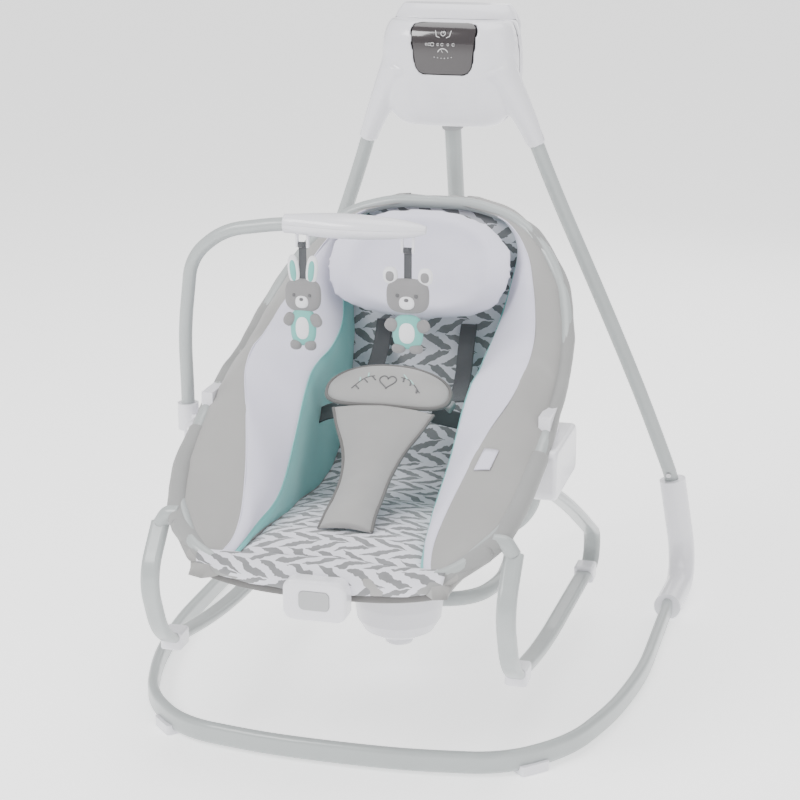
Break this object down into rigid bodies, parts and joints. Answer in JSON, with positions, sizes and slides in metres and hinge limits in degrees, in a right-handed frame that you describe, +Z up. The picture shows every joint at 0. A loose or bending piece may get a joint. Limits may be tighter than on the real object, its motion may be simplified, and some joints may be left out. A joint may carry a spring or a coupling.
{
  "type": "baby swing",
  "caption": "Baby cradle swing with a tube stand, side-to-side swing arm, lift-off padded seat on rocker loops, toy bar with hanging toys, and a drive head on top.",
  "frame": {"origin": "on the floor, at the middle of the swing's footprint", "axes": "+Z up; -Y is the front, the way the baby faces; +X is the baby's left hand side; x = 0 is the stand's symmetry plane"},
  "size_m": [0.7692, 0.883, 0.942],
  "materials": {
    "grey_tube": "satin",
    "white_shell": "gloss",
    "floor_rubber": "matte",
    "dark_display": "gloss",
    "bright_steel": "satin",
    "grey_plastic": "satin",
    "print_fabric": "matte",
    "grey_fabric": "matte",
    "white_plush": "matte",
    "light_fabric": "matte",
    "webbing": "matte",
    "toy_plush": "matte"
  },
  "bodies": {
    "stand": {"base_tube": "grey_tube", "left_leg_tube": "grey_tube", "right_leg_tube": "grey_tube", "left_joint_cover": "white_shell", "right_joint_cover": "white_shell", "rear_floor_pads": "floor_rubber", "front_feet": "white_shell", "leg_snap_buttons": "bright_steel", "head_front_cover": "white_shell", "head_rear_cover": "white_shell", "top_handle": "white_shell", "display_panel": "dark_display", "cover_screws": "bright_steel", "pivot_plates": "bright_steel", "pivot_bushes": "grey_plastic", "drive_motor": "bright_steel", "circuit_board": "grey_plastic", "battery_tray": "grey_plastic", "batteries": "bright_steel"},
    "power_button": {"power_button": "dark_display"},
    "melody_button": {"melody_button": "dark_display"},
    "battery_door": {"battery_door": "white_shell"},
    "motor_pinion": {"motor_pinion": "grey_plastic"},
    "swing_arm": {"pivot_shaft": "bright_steel", "drive_gear": "grey_plastic", "arm_yoke": "grey_plastic", "upper_arm_tube": "grey_tube", "lower_arm_tube": "grey_tube", "arm_snap_button": "bright_steel", "seat_hub": "white_shell"},
    "seat_release_button": {"seat_release_button": "white_shell"},
    "seat": {"seat_mount": "white_shell", "cross_tube": "grey_tube", "left_rocker_tube": "grey_tube", "right_rocker_tube": "grey_tube", "rocker_feet": "white_shell", "left_side_hub": "white_shell", "right_side_hub": "white_shell", "rim_clamps": "white_shell", "rim_tubes": "grey_tube", "seat_cushion": "print_fabric", "back_cushion": "print_fabric", "left_bolster": "grey_fabric", "right_bolster": "grey_fabric", "headrest": "white_plush", "crotch_panel": "light_fabric", "tummy_pad": "light_fabric", "shoulder_straps": "webbing", "waist_straps": "webbing", "waist_buckles": "grey_plastic", "vibration_housing": "white_shell", "vibration_motor": "bright_steel", "toy_bar_socket": "white_shell"},
    "vibration_button": {"vibration_button": "grey_plastic"},
    "toy_bar": {"toy_bar_tube": "grey_tube", "toy_tray_top": "white_shell", "toy_tray_bottom": "white_shell"},
    "bunny": {"bunny_toy": "toy_plush"},
    "bear": {"bear_toy": "toy_plush"}
  },
  "joints": [
    {"name": "arm_swing", "type": "hinge", "parent": "stand", "child": "swing_arm", "pos_m": [0, 0.2925, 0.8], "axis": [0, 1, 0], "range_deg": [-12, 12]},
    {"name": "pinion_spin", "type": "hinge", "parent": "stand", "child": "motor_pinion", "pos_m": [0.03335, 0.2925, 0.8], "axis": [0, 1, 0], "range_deg": [-44.57, 44.57]},
    {"name": "power_press", "type": "slide", "parent": "stand", "child": "power_button", "axis": [0, 1, 0], "range_m": [0, 0.001], "stiffness_N_per_m": 600},
    {"name": "melody_press", "type": "slide", "parent": "stand", "child": "melody_button", "axis": [0, 1, 0], "range_m": [0, 0.001], "stiffness_N_per_m": 600},
    {"name": "door_lift", "type": "slide", "parent": "stand", "child": "battery_door", "axis": [0, 1, 0], "range_m": [0, 0.03]},
    {"name": "release_press", "type": "slide", "parent": "swing_arm", "child": "seat_release_button", "axis": [0, 0, 1], "range_m": [0, 0.004], "stiffness_N_per_m": 500},
    {"name": "seat_lift", "type": "slide", "parent": "swing_arm", "child": "seat", "axis": [0, 0, 1], "range_m": [0, 0.06]},
    {"name": "vibration_press", "type": "slide", "parent": "seat", "child": "vibration_button", "axis": [0, 1, 0], "range_m": [0, 0.002], "stiffness_N_per_m": 600},
    {"name": "toy_bar_turn", "type": "hinge", "parent": "seat", "child": "toy_bar", "pos_m": [-0.285, -0.1135, 0.4], "axis": [0, 0, 1], "range_deg": [-90, 0]},
    {"name": "bunny_swing", "type": "hinge", "parent": "toy_bar", "child": "bunny", "pos_m": [-0.112, -0.1135, 0.653], "axis": [1, 0, 0], "range_deg": [-30, 30]},
    {"name": "bear_swing", "type": "hinge", "parent": "toy_bar", "child": "bear", "pos_m": [0.037, -0.1135, 0.653], "axis": [1, 0, 0], "range_deg": [-30, 30]}
  ],
  "couplings": [
    {"joint": "pinion_spin", "follows": "arm_swing", "ratio": -3.7143}
  ]
}
